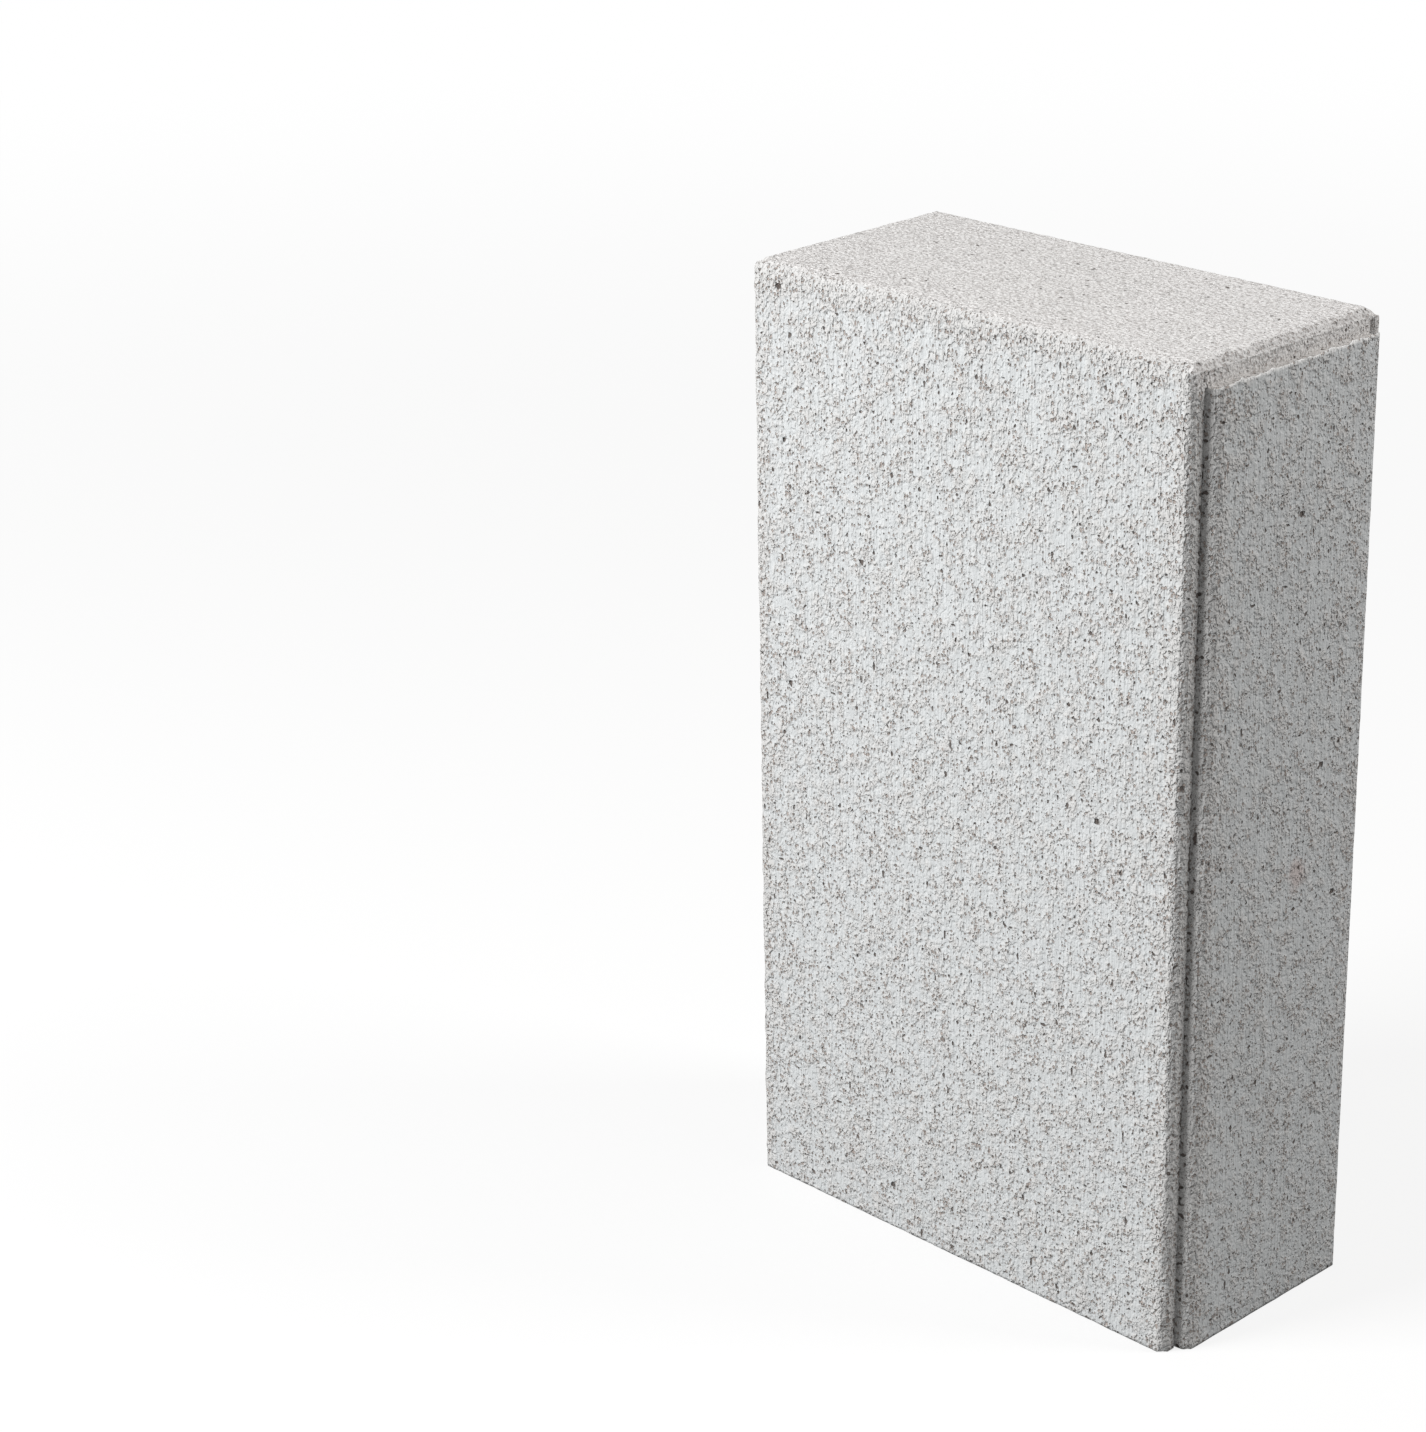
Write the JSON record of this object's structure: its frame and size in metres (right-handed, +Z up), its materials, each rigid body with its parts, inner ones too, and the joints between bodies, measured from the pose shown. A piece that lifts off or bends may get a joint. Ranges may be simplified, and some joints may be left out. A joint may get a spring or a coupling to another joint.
{
  "type": "concrete edging block",
  "caption": "Upright pressed concrete edging block with a chamfered top and a raised spacer panel on one end, laid in a row to edge a bed or path.",
  "frame": {"origin": "middle of the overall length and of the thickness, at floor level under the bed face", "axes": "+X along the row towards the end with the spacer panel, +Y from the front face to the back face, +Z up to the chamfered show end"},
  "size_m": [0.17, 0.08, 0.3],
  "materials": {
    "pressed_concrete": "fine-pored pressed concrete, light grey-white, matt"
  },
  "bodies": {
    "root": {"edging_block": "pressed_concrete"}
  },
  "joints": []
}
